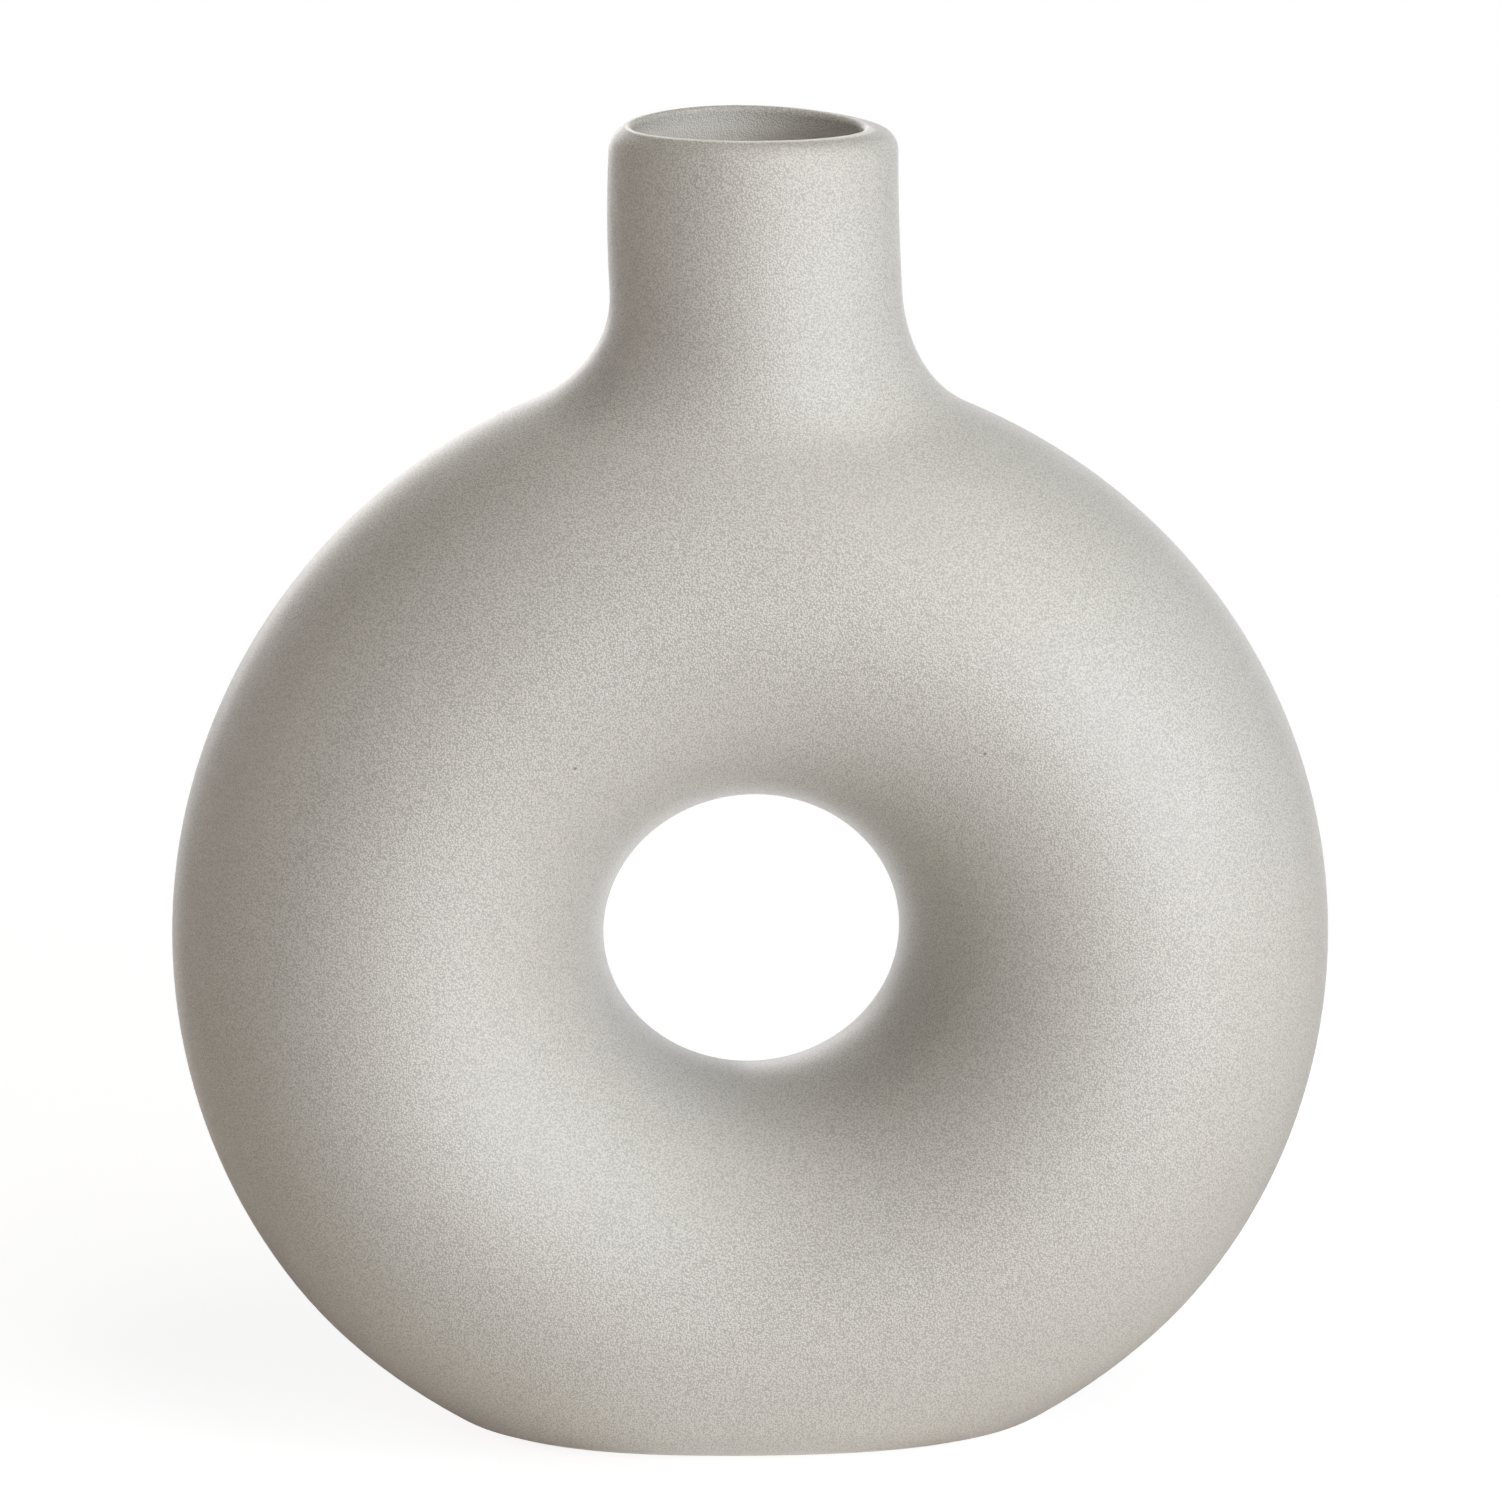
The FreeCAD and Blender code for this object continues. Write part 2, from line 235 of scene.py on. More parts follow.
class VaseFinish(bpy.types.PropertyGroup):
    glaze: bpy.props.FloatVectorProperty(
        name="Glaze", description="Warm pale grey of the glaze's grains", subtype="COLOR", size=3,
        default=(0.81, 0.785, 0.728), min=0, max=1)
    # Partly the glaze's own darker tone and partly painted shade in the hollows between the grains
    glaze_ground_and_shade: bpy.props.FloatVectorProperty(
        name="Glaze ground", description="Darker glaze between the grains, partly painted shade", subtype="COLOR", size=3,
        default=(0.525, 0.509, 0.466), min=0, max=1)
    # Painted light: colour of the painted highlight along the lip and of the painted light inside the neck
    painted_light: bpy.props.FloatVectorProperty(
        name="Painted light", description="Painted highlight along the lip and painted light inside the neck",
        subtype="COLOR", size=3,
        default=(0.98, 0.945, 0.875), min=0, max=1)
    pin_speck: bpy.props.FloatVectorProperty(
        name="Pin specks", description="Rare dark specks", subtype="COLOR", size=3,
        default=(0.25, 0.22, 0.19), min=0, max=1)
    bare_clay: bpy.props.FloatVectorProperty(
        name="Bare clay", description="Cream clay of the foot", subtype="COLOR", size=3,
        default=(0.97, 0.90, 0.77), min=0, max=1)
    grain_size: bpy.props.FloatProperty(
        name="Grain size", description="Width of one sandy grain", default=0.00027, unit="LENGTH")
    grain_height: bpy.props.FloatProperty(
        name="Grain height", description="How far a grain stands up", default=0.00006, unit="LENGTH")


class VaseStudio(bpy.types.PropertyGroup):
    camera_distance: bpy.props.FloatProperty(
        name="Camera distance", description="From the camera to the vase", default=1.15, unit="LENGTH")
    camera_turn: bpy.props.FloatProperty(
        name="Camera turn", description="How far the camera stands to the left of the front",
        default=radians(1.91), unit="ROTATION")
    camera_rise: bpy.props.FloatProperty(
        name="Camera rise", description="How far the camera looks down on the vase",
        default=radians(14.1), unit="ROTATION")
    camera_lens: bpy.props.FloatProperty(
        name="Lens", description="Focal length on a 36 mm wide film", default=0.18226, unit="LENGTH")
    light_level: bpy.props.FloatProperty(
        name="Light level", description="Turns all the lamps up or down together", default=1.0, min=0)
    lamp_size: bpy.props.FloatProperty(
        name="Lamp size", description="Width of each soft lamp", default=0.9, unit="LENGTH")
    lamp_distance: bpy.props.FloatProperty(
        name="Lamp distance", description="From each lamp to the vase", default=1.4, unit="LENGTH")
    room_light: bpy.props.FloatProperty(
        name="Room light", description="Even light from the room", default=0.02, min=0)


def bisect(reach, wanted, low, high):
    """The angle between low and high at which a growing length reaches the wanted one."""
    for _ in range(BISECT_STEPS):
        middle = (low + high) / 2
        if reach(middle) < wanted:
            low = middle
        else:
            high = middle
    return (low + high) / 2


def smooth(share):
    """Eases a share from 0 to 1, flat at both ends."""
    share = min(max(share, 0.0), 1.0)
    return share * share * (3 - 2 * share)


def grow(value, fade):
    """0 up to where the fade sets in and 1 past its length."""
    start, length = fade
    return smooth((value - start) / length)


def curve(share, levels):
    """A level, a slope and a curve over a share."""
    level, slope, bend = levels
    return level + slope * share + bend * share ** 2


class RingForm:
    """The ring with its neck: the outside of the clay, or the hollow inside it.

    turn goes round the ring from the top, first to the right. part goes round
    the oval section from the outer rim, first to the front. heading goes round
    the neck or the foot from the front, first to the right.
    """

    def __init__(self, sizes, wall, neck_wall, flare_radius):
        outer = sizes.ring_diameter / 2
        hole = sizes.hole_diameter / 2
        self.line_radius = (outer + hole) / 2
        self.half_width = (outer - hole) / 2 - wall
        self.half_depth = sizes.ring_depth / 2 - wall
        self.centre_height = sizes.ring_centre_height
        self.neck_radius = sizes.neck_diameter / 2 - neck_wall
        self.flare_radius = flare_radius
        self.foot_radius = sizes.foot_edge_radius
        self.known_balls = {}
        under = self.centre_height - self.foot_radius - self.line_radius
        self.foot_part = QUARTER - bisect(
            lambda rest: self.section(QUARTER - rest, -self.foot_radius)[0], under, 0, QUARTER)

    def section(self, part, lift=0.0):
        """Outward and forward distance from the middle of the section, lift off its surface."""
        out, front = self.half_depth * cos(part), self.half_width * sin(part)
        scale = lift / hypot(out, front)
        return self.half_width * cos(part) + out * scale, self.half_depth * sin(part) + front * scale

    def place(self, turn, part):
        out, front = self.section(part)
        radius = self.line_radius + out
        return Vector((radius * sin(turn), -front, self.centre_height + radius * cos(turn)))

    def where(self, point):
        """Turn and part of a point on the ring."""
        up = point.z - self.centre_height
        out = hypot(point.x, up) - self.line_radius
        return atan2(point.x, up), atan2(-point.y / self.half_depth, out / self.half_width)

    def flare_ball(self, heading):
        """The ball that rolls round the root of the neck: its centre, and turn and part where it touches."""
        key = ("flare", round(heading, 7))
        if key not in self.known_balls:
            self.known_balls[key] = self.find_flare_ball(heading)
        return self.known_balls[key]

    def find_flare_ball(self, heading):
        reach = self.neck_radius + self.flare_radius
        across, front = reach * sin(heading), reach * cos(heading)
        part = bisect(lambda angle: self.section(angle, self.flare_radius)[1], front, -QUARTER, QUARTER)
        radius = self.line_radius + self.section(part, self.flare_radius)[0]
        up = sqrt(radius ** 2 - across ** 2)
        return Vector((across, -front, self.centre_height + up)), atan2(across, up), part

    def foot_ball(self, heading):
        """The ball that rolls inside the foot's edge: its centre, and where it touches.

        Where it touches is the angle from the bottom of the ring, and the part.
        """
        key = ("foot", round(heading, 7))
        if key not in self.known_balls:
            self.known_balls[key] = self.find_foot_ball(heading)
        return self.known_balls[key]

    def find_foot_ball(self, heading):
        part = self.foot_part * cos(heading)
        out, front = self.section(part, -self.foot_radius)
        radius = self.line_radius + out
        aside = acos(min((self.centre_height - self.foot_radius) / radius, 1.0))
        if sin(heading) < 0:
            aside = -aside
        return Vector((radius * sin(aside), -front, self.foot_radius)), aside, part

    def flare_point(self, heading, share):
        """A point of the flare: share 0 on the ring, 1 on the neck."""
        centre, turn, part = self.flare_ball(heading)
        start = (self.place(turn, part) - centre).normalized()
        end = Vector((-sin(heading), cos(heading), 0))
        return centre + start.slerp(end, share) * self.flare_radius

    def foot_point(self, heading, dip, inset=0.0):
        """A point of the foot's edge, dip being its slope below the horizon."""
        centre, aside, part = self.foot_ball(heading)
        start = self.place(pi - aside, part) - centre
        flat = Vector((start.x, start.y, 0)).normalized()
        return centre + (flat * cos(dip) - Vector((0, 0, 1)) * sin(dip)) * (self.foot_radius - inset)

    def foot_start_dip(self, heading):
        centre, aside, part = self.foot_ball(heading)
        return asin((centre.z - self.place(pi - aside, part).z) / self.foot_radius)


def block_heading(across, along, block, step):
    """Heading of a point on the rim of a block of the ring's grid, in equal steps along that rim."""
    wide, high = block
    u, v = across / step[0], along / step[1]
    if abs(v) * wide >= abs(u) * high:
        walked = u if v > 0 else 2 * wide + 2 * high - u
    else:
        walked = wide + high - v if u > 0 else 3 * wide + 3 * high + v
    return 2 * pi * walked / (4 * (wide + high))


def spin_ring(clay, form):
    """Spins the oval section into a whole ring and returns its vertices."""
    made = bmesh.ops.create_circle(clay, segments=STEPS_AROUND_SECTION, radius=1.0)
    section = made["verts"]
    stand_up = Matrix((
        (0, 0, 1, 0),
        (0, -form.half_depth, 0, 0),
        (form.half_width, 0, 0, form.centre_height + form.line_radius),
        (0, 0, 0, 1)))
    bmesh.ops.transform(clay, matrix=stand_up, verts=section)
    edges = list({edge for vert in section for edge in vert.link_edges})
    before = set(clay.verts) - set(section)
    bmesh.ops.spin(
        clay, geom=section + edges, cent=(0, 0, form.centre_height), axis=(0, 1, 0),
        angle=2 * pi, steps=STEPS_AROUND_RING, use_merge=True)
    return [vert for vert in clay.verts if vert not in before]


def open_block(clay, form, verts, heading_layer, block, at_foot):
    """Cuts a block out of the ring's grid and eases the grid round it.

    The rim of the block then lies where the rounding to the neck or the foot begins.
    """
    step = (2 * pi / STEPS_AROUND_RING, 2 * pi / STEPS_AROUND_SECTION)
    half = (block[0] * step[0], block[1] * step[1])
    inside, rim = [], []
    for vert in verts:
        turn, part = form.where(vert.co)
        if at_foot:
            turn = (pi - turn) if turn > 0 else (-pi - turn)
        level = max(abs(turn) / half[0], abs(part) / half[1])
        if level > SETTLE_REACH:
            continue
        if level < 1 - ON_RIM:
            inside.append(vert)
            continue
        heading = block_heading(turn / level, part / level, block, step)
        if at_foot:
            _, touch_turn, touch_part = form.foot_ball(heading)
        else:
            _, touch_turn, touch_part = form.flare_ball(heading)
        keep = smooth((level - 1) / (SETTLE_REACH - 1))
        turn = turn * keep + touch_turn * level * (1 - keep)
        part = part * keep + touch_part * level * (1 - keep)
        vert.co = form.place(pi - turn if at_foot else turn, part)
        if level < 1 + ON_RIM:
            vert[heading_layer] = heading
            rim.append(vert)
    bmesh.ops.delete(clay, geom=inside, context="VERTS")
    rim = set(rim)
    return [edge for edge in clay.edges if edge.verts[0] in rim and edge.verts[1] in rim and edge.is_boundary]


def next_row(clay, edges, heading_layer, place):
    """Extrudes an open rim by one row and puts each new vertex where place(heading) says."""
    headings = {}
    for edge in edges:
        for vert in edge.verts:
            headings[tuple(vert.co)] = vert[heading_layer]
    grown = bmesh.ops.extrude_edge_only(clay, edges=edges)["geom"]
    verts = [item for item in grown if isinstance(item, bmesh.types.BMVert)]
    fresh = set(verts)
    row = [item for item in grown if isinstance(item, bmesh.types.BMEdge)
           and item.verts[0] in fresh and item.verts[1] in fresh]
    for vert in verts:
        heading = headings[tuple(vert.co)]
        vert[heading_layer] = heading
        vert.co = place(heading)
    return row


def waves(angle, pairs):
    """A sum of waves: the first pair goes round once for each full turn, the next twice, and so on."""
    return sum(level * cos(count * angle) + swing * sin(count * angle)
               for count, (level, swing) in enumerate(pairs))


def hand_finish(point, sizes):
    """The soft unevenness of a pot pressed and finished by hand: about a millimetre at most."""
    x, y, z = point
    up = z - sizes.ring_centre_height
    radius, turn = hypot(x, up), atan2(x, up)
    hand = sizes.hand_share * MM
    on_neck = grow(z, NECK_FADE) if abs(x) < NECK_REACH else 0.0
    out = waves(turn, RING_DRIFT) * grow(radius, RIM_FADE) * (1 - on_neck) * hand
    neck_share = (z - NECK_SPAN[0]) / NECK_SPAN[1]
    lean = curve(neck_share, NECK_LEAN) * on_neck
    narrow = curve(neck_share, NECK_NARROWING) * on_neck * x / (sizes.neck_diameter / 2)
    lip = waves(atan2(x, -y), LIP_DRIFT) * grow(z, LIP_FADE)
    # The mouth was opened a little left of the middle, so the lip is thicker at the right
    opened = MOUTH_SHIFT * grow(hypot(x, y), BORE_FADE) * grow(z, MOUTH_FADE)
    return Vector((
        x + out * sin(turn) + (lean - narrow + opened) * hand,
        y,
        z + out * cos(turn) * grow(z, TABLE_EDGE_FADE) + lip * hand))


def finish_mesh(clay, name, sizes, material):
    """Welds, turns the faces outwards, adds the hand finish and makes the object."""
    bmesh.ops.remove_doubles(clay, verts=clay.verts, dist=WELD_DISTANCE)
    bmesh.ops.recalc_face_normals(clay, faces=clay.faces)
    for vert in clay.verts:
        vert.co = hand_finish(vert.co, sizes)
    mesh = bpy.data.meshes.new(name)
    clay.to_mesh(mesh)
    clay.free()
    mesh.shade_smooth()
    mesh.materials.append(material)
    piece = bpy.data.objects.new(name, mesh)
    bpy.context.scene.collection.objects.link(piece)
    return piece


def glaze_end_height(heading, sizes):
    """The glaze stops a little higher at the front left, where more of it was wiped off."""
    wiped, ragged = 0.14 * cos(heading + 0.5), 0.03 * sin(5 * heading)
    return sizes.glaze_end * (1 + wiped + ragged)


def make_glazed_body(sizes, finish):
    """One continuous skin: ring, flare, neck, lip and the hollow inside, down to where the glaze stops."""
    clay = bmesh.new()
    heading_layer = clay.verts.layers.float.new("heading")
    # Painted highlight: marks the light line along the top of the lip
    painted_highlight_layer = clay.verts.layers.float.new("painted_light")
    # Painted light: marks the inside wall of the neck, which is made lighter
    inner_layer = clay.verts.layers.float.new("inner_painted_light")

    outside = RingForm(sizes, 0.0, 0.0, sizes.flare_radius)
    inside = RingForm(sizes, sizes.body_wall, sizes.neck_wall, sizes.flare_radius + sizes.body_wall)

    verts = spin_ring(clay, outside)
    root = open_block(clay, outside, verts, heading_layer, NECK_BLOCK, False)
    foot = open_block(clay, outside, [v for v in verts if v.is_valid], heading_layer, FOOT_BLOCK, True)

    # Flare and outer wall of the neck
    row = root
    for k in range(FLARE_ROWS):
        row = next_row(clay, row, heading_layer, lambda h: outside.flare_point(h, (k + 1) / FLARE_ROWS))
    roll_out = sizes.lip_roll
    roll_in = sizes.neck_wall - roll_out
    neck = outside.neck_radius
    for k in range(WALL_ROWS):
        def wall(heading):
            low = outside.flare_ball(heading)[0].z
            height = low + (sizes.lip_height - roll_out - low) * (k + 1) / WALL_ROWS
            return Vector((neck * sin(heading), -neck * cos(heading), height))
        row = next_row(clay, row, heading_layer, wall)
    # The lip rolls over and down into the mouth
    for k in range(LIP_ROWS + INNER_LIP_ROWS):
        if k < LIP_ROWS:
            angle = QUARTER * (k + 1) / LIP_ROWS
            radius = neck - roll_out + roll_out * cos(angle)
            height = sizes.lip_height - roll_out + roll_out * sin(angle)
            from_top = (QUARTER - angle) * roll_out
        else:
            angle = QUARTER * (k + 1 - LIP_ROWS) / INNER_LIP_ROWS
            radius = neck - roll_out - roll_in * sin(angle)
            height = sizes.lip_height - roll_in + roll_in * cos(angle)
            from_top = angle * roll_in
        row = next_row(
            clay, row, heading_layer, lambda h: Vector((radius * sin(h), -radius * cos(h), height)))
        # Painted highlight: a light line along the top of the lip, strongest at the front and half as strong
        # at the back
        for edge in row:
            for vert in edge.verts:
                front = grow(cos(vert[heading_layer]), PAINTED_HIGHLIGHT_FRONT)
                vert[painted_highlight_layer] = max(1 - from_top / PAINTED_HIGHLIGHT_REACH, 0) * (0.5 + 0.5 * front)
    bore = inside.neck_radius
    for k in range(WALL_ROWS):
        def inner_wall(heading):
            low = inside.flare_ball(heading)[0].z
            high = sizes.lip_height - roll_in
            height = high + (low - high) * (k + 1) / WALL_ROWS
            return Vector((bore * sin(heading), -bore * cos(heading), height))
        row = next_row(clay, row, heading_layer, inner_wall)
        # Painted light: the inside wall of the neck is marked to be made lighter
        for edge in row:
            for vert in edge.verts:
                vert[inner_layer] = 1.0
    for k in range(FLARE_ROWS):
        row = next_row(clay, row, heading_layer, lambda h: inside.flare_point(h, 1 - (k + 1) / FLARE_ROWS))

    # The hollow of the ring, with a flat floor
    verts = spin_ring(clay, inside)
    open_block(clay, inside, verts, heading_layer, NECK_BLOCK, False)
    for vert in verts:
        if vert.is_valid:
            vert.co.z = max(vert.co.z, sizes.floor_thickness)

    # The rounded foot edge, down to where the glaze stops
    row = foot
    for k in range(FOOT_EDGE_ROWS):
        def edge_point(heading):
            start = outside.foot_start_dip(heading)
            end = asin(1 - glaze_end_height(heading, sizes) / outside.foot_radius)
            return outside.foot_point(heading, start + (end - start) * (k + 1) / FOOT_EDGE_ROWS)
        row = next_row(clay, row, heading_layer, edge_point)
    for k in range(GLAZE_END_ROWS):
        def rolled_end(heading):
            end = asin(1 - glaze_end_height(heading, sizes) / outside.foot_radius)
            angle = QUARTER * (k + 1) / GLAZE_END_ROWS
            past_end = GLAZE_THICKNESS * sin(angle) / outside.foot_radius
            return outside.foot_point(heading, end + past_end, GLAZE_THICKNESS * (1 - cos(angle)))
        row = next_row(clay, row, heading_layer, rolled_end)
    row = next_row(clay, row, heading_layer, lambda h: Vector((
        outside.foot_ball(h)[0].x, outside.foot_ball(h)[0].y, BODY_CAP_HEIGHT)))
    bmesh.ops.contextual_create(clay, geom=row)
    return finish_mesh(clay, "glazed_body", sizes, glaze_material(finish))


def make_bare_foot(sizes, finish):
    """The bare clay below the glaze: the standing ring and the shallow hollow inside it."""
    clay = bmesh.new()
    heading_layer = clay.verts.layers.float.new("heading")
    outside = RingForm(sizes, 0.0, 0.0, sizes.flare_radius)
    count = 4 * (FOOT_BLOCK[0] + FOOT_BLOCK[1])
    top = bmesh.ops.create_circle(clay, segments=count, radius=1.0, cap_ends=True)["verts"]
    for vert in top:
        heading = atan2(vert.co.x, -vert.co.y)
        vert[heading_layer] = heading
        centre = outside.foot_ball(heading)[0]
        vert.co = Vector((centre.x, centre.y, FOOT_CAP_HEIGHT))
    row = list({edge for vert in top for edge in vert.link_edges})
    for k in range(BARE_EDGE_ROWS + 1):
        def bare_edge(heading):
            top_height = glaze_end_height(heading, sizes) + CLAY_BEHIND_GLAZE
            start = asin(1 - top_height / outside.foot_radius)
            share = k / BARE_EDGE_ROWS
            return outside.foot_point(heading, start + (QUARTER - start) * share, CLAY_INSET * (1 - share))
        row = next_row(clay, row, heading_layer, bare_edge)

    def recess(shrink, height):
        def place(heading):
            centre = outside.foot_ball(heading)[0]
            around = atan2(centre.x / sizes.recess_length, -centre.y / sizes.recess_depth)
            return Vector(((sizes.recess_length - shrink) * sin(around),
                           -(sizes.recess_depth - shrink) * cos(around), height))
        return place

    # The edge of the hollow rolls over and up, and its wall rolls into its ceiling
    roll, near = RECESS_ROLL, 0.3 * RECESS_ROLL
    rise = sizes.recess_rise
    for shrink, height in ((-roll, 0), (-near, near), (0, roll), (0, rise - roll),
                           (near, rise - near), (roll, rise)):
        row = next_row(clay, row, heading_layer, recess(shrink, height))
    bmesh.ops.contextual_create(clay, geom=row)
    return finish_mesh(clay, "bare_foot", sizes, clay_material(finish))


def node(tree, kind, inputs=(), **settings):
    """Adds a node: settings are its own options, inputs are values or links for its sockets."""
    made = tree.nodes.new(kind)
    for key, setting in settings.items():
        setattr(made, key, setting)
    for key, given in dict(inputs).items():
        if isinstance(given, bpy.types.NodeSocket):
            tree.links.new(given, made.inputs[key])
        else:
            made.inputs[key].default_value = given
    return made


def rgba(colour, level=1.0):
    """A colour with its alpha, lighter or darker by a level."""
    return (*[level * part for part in colour], 1.0)


def blend_colours(tree, factor, first, second, blend_type="MIX"):
    """Mixes two colours, each a colour or a link."""
    mix = node(tree, "ShaderNodeMix", data_type="RGBA", blend_type=blend_type)
    slots = [socket for socket in mix.inputs if socket.type == "RGBA"]
    for slot, given in ((mix.inputs[0], factor), (slots[0], first), (slots[1], second)):
        if isinstance(given, bpy.types.NodeSocket):
            tree.links.new(given, slot)
        else:
            slot.default_value = given
    return next(socket for socket in mix.outputs if socket.type == "RGBA")


def stretch(tree, value, low, high, start=0.0, end=1.0):
    """Stretches a value from low..high to start..end."""
    return node(tree, "ShaderNodeMapRange", {
        "Value": value, "From Min": low, "From Max": high,
        "To Min": start, "To Max": end}).outputs["Result"]


def own_attribute(tree, name):
    """A value that the mesh carries at each of its points."""
    return node(tree, "ShaderNodeAttribute", attribute_type="GEOMETRY", attribute_name=name).outputs["Fac"]


def new_material(name):
    """A material with one Principled shader, with its tree and that shader."""
    material = bpy.data.materials.new(name)
    material.use_nodes = True
    tree = material.node_tree
    tree.nodes.clear()
    shader = tree.nodes.new("ShaderNodeBsdfPrincipled")
    output = tree.nodes.new("ShaderNodeOutputMaterial")
    tree.links.new(shader.outputs["BSDF"], output.inputs["Surface"])
    return material, tree, shader


def glaze_material(finish):
    """A satin glaze with a fine sandy grain whose darker ground is partly painted shade, soft clouds, rare
    dark specks, a painted highlight along the lip and painted light inside the neck.
    """
    material, tree, shader = new_material("matt sandy glaze")
    link = tree.links.new
    place = node(tree, "ShaderNodeTexCoord").outputs["Object"]

    # The sand: round grains, light on top and darker between, that stand higher in some places; the darker
    # ground between the grains is partly the glaze's own tone and partly painted shade in the hollows
    grains = node(tree, "ShaderNodeTexVoronoi", {
        "Vector": place, "Scale": 1 / finish.grain_size, "Randomness": 1.0}).outputs["Distance"]
    grain = stretch(tree, grains, 0.1, 0.8, 1.0, 0.0)
    coarse = node(tree, "ShaderNodeTexNoise", {
        "Vector": place, "Scale": 0.6 / finish.grain_size, "Detail": 0.0}).outputs["Fac"]
    sand = node(tree, "ShaderNodeMath", {0: grain, 1: stretch(tree, coarse, 0.2, 0.8, -0.07, 0.07)},
                operation="ADD").outputs[0]
    body = blend_colours(
        tree, stretch(tree, sand, 0.15, 0.85), rgba(finish.glaze_ground_and_shade), rgba(finish.glaze))

    # Soft clouds, a little warmer and darker here and there
    cloud = node(tree, "ShaderNodeTexNoise", {
        "Vector": place, "Scale": GLAZE_CLOUDS, "Detail": 2.0, "Roughness": 0.5}).outputs["Fac"]
    body = blend_colours(tree, stretch(tree, cloud, 0.35, 0.70, 0.0, 1.0), body,
                         blend_colours(tree, 1.0, body, rgba(GLAZE_CLOUD_TINT), "MULTIPLY"))

    # Rare dark specks of iron in the glaze
    cells = node(tree, "ShaderNodeTexVoronoi", {
        "Vector": place, "Scale": GLAZE_SPECKS, "Randomness": 1.0})
    spot = stretch(tree, cells.outputs["Distance"], *SPECK_EDGE, 1.0, 0.0)
    chosen = node(tree, "ShaderNodeSeparateColor", {"Color": cells.outputs["Color"]}).outputs["Red"]
    rare = stretch(tree, chosen, *SPECK_FREE)
    speck = node(tree, "ShaderNodeMath", {0: spot, 1: rare}, operation="MULTIPLY").outputs[0]
    body = blend_colours(tree, speck, body, rgba(finish.pin_speck))

    # Painted light: the inside of the neck is made lighter
    inner = stretch(tree, own_attribute(tree, "inner_painted_light"), 0.0, 1.0, 0.0, INNER_COVER)
    body = blend_colours(tree, inner, body, rgba(finish.painted_light, INNER_LEVEL))

    # Painted highlight: a light line along the top of the lip
    thin = own_attribute(tree, "painted_light")
    ragged = node(tree, "ShaderNodeMath", {0: thin, 1: stretch(tree, grain, 0.2, 0.8, -0.08, 0.08)},
                  operation="ADD").outputs[0]
    body = blend_colours(tree, stretch(tree, ragged, *LIP_HIGHLIGHT_EDGE), body, rgba(finish.painted_light))
    link(body, shader.inputs["Base Color"])

    bump = node(tree, "ShaderNodeBump", {"Strength": 1.0, "Distance": finish.grain_height, "Height": sand})
    link(bump.outputs["Normal"], shader.inputs["Normal"])
    link(stretch(tree, sand, 0.1, 0.9, *SAND_ROUGHNESS), shader.inputs["Roughness"])
    # The glaze lies smooth over its grains, which shows where the surface turns away from the eye
    turned_away = node(tree, "ShaderNodeLayerWeight", {"Blend": 0.5}).outputs["Facing"]
    smooth_top = stretch(tree, turned_away, *SMOOTH_TOP_TURN, 0.0, SMOOTH_TOP_STRENGTH)
    link(smooth_top, shader.inputs["Coat Weight"])
    shader.inputs["Coat Roughness"].default_value = SMOOTH_TOP_ROUGHNESS
    return material


def clay_material(finish):
    """Bare fired clay: cream, dry and finely grained, with greyer clouds and small pores darkened with
    painted shade.
    """
    material, tree, shader = new_material("bare cream clay")
    link = tree.links.new
    place = node(tree, "ShaderNodeTexCoord").outputs["Object"]
    grain = node(tree, "ShaderNodeTexNoise", {
        "Vector": place, "Scale": CLAY_GRAINS, "Detail": 2.0}).outputs["Fac"]
    tone = blend_colours(tree, stretch(tree, grain, 0.35, 0.65),
                         rgba(finish.bare_clay, CLAY_GRAIN_LEVEL), rgba(finish.bare_clay))
    cloud = node(tree, "ShaderNodeTexNoise", {
        "Vector": place, "Scale": CLAY_CLOUDS, "Detail": 3.0}).outputs["Fac"]
    tone = blend_colours(tree, stretch(tree, cloud, 0.45, 0.75, 0.0, CLAY_CLOUD_STRENGTH), tone,
                         blend_colours(tree, 1.0, tone, rgba(CLAY_CLOUD_TINT), "MULTIPLY"))
    # Painted shade: the small pores are darkened
    cells = node(tree, "ShaderNodeTexVoronoi", {"Vector": place, "Scale": CLAY_PORES})
    pore_shade = stretch(tree, cells.outputs["Distance"], *PORE_EDGE, PORE_SHADE_STRENGTH, 0.0)
    tone = blend_colours(tree, pore_shade, tone, rgba(finish.bare_clay, PORE_SHADE_LEVEL))
    link(tone, shader.inputs["Base Color"])
    bump = node(tree, "ShaderNodeBump", {
        "Strength": 0.8, "Distance": CLAY_GRAIN_HEIGHT, "Height": grain})
    link(bump.outputs["Normal"], shader.inputs["Normal"])
    shader.inputs["Roughness"].default_value = CLAY_ROUGHNESS
    return material


class VASE_OT_glazed_body(bpy.types.Operator):
    """Make the glazed body: ring, flare, neck, lip and the hollow inside"""
    bl_idname = "vase.glazed_body"
    bl_label = "Glazed body"

    def execute(self, context):
        body = make_glazed_body(context.scene.vase_sizes, context.scene.vase_finish)
        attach(body, "root")
        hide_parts("ring_front_half", "ring_back_half", "neck")
        return {"FINISHED"}


class VASE_OT_bare_foot(bpy.types.Operator):
    """Make the bare clay foot with its standing ring and shallow hollow"""
    bl_idname = "vase.bare_foot"
    bl_label = "Bare foot"

    def execute(self, context):
        foot = make_bare_foot(context.scene.vase_sizes, context.scene.vase_finish)
        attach(foot, "root")
        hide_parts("foot")
        return {"FINISHED"}


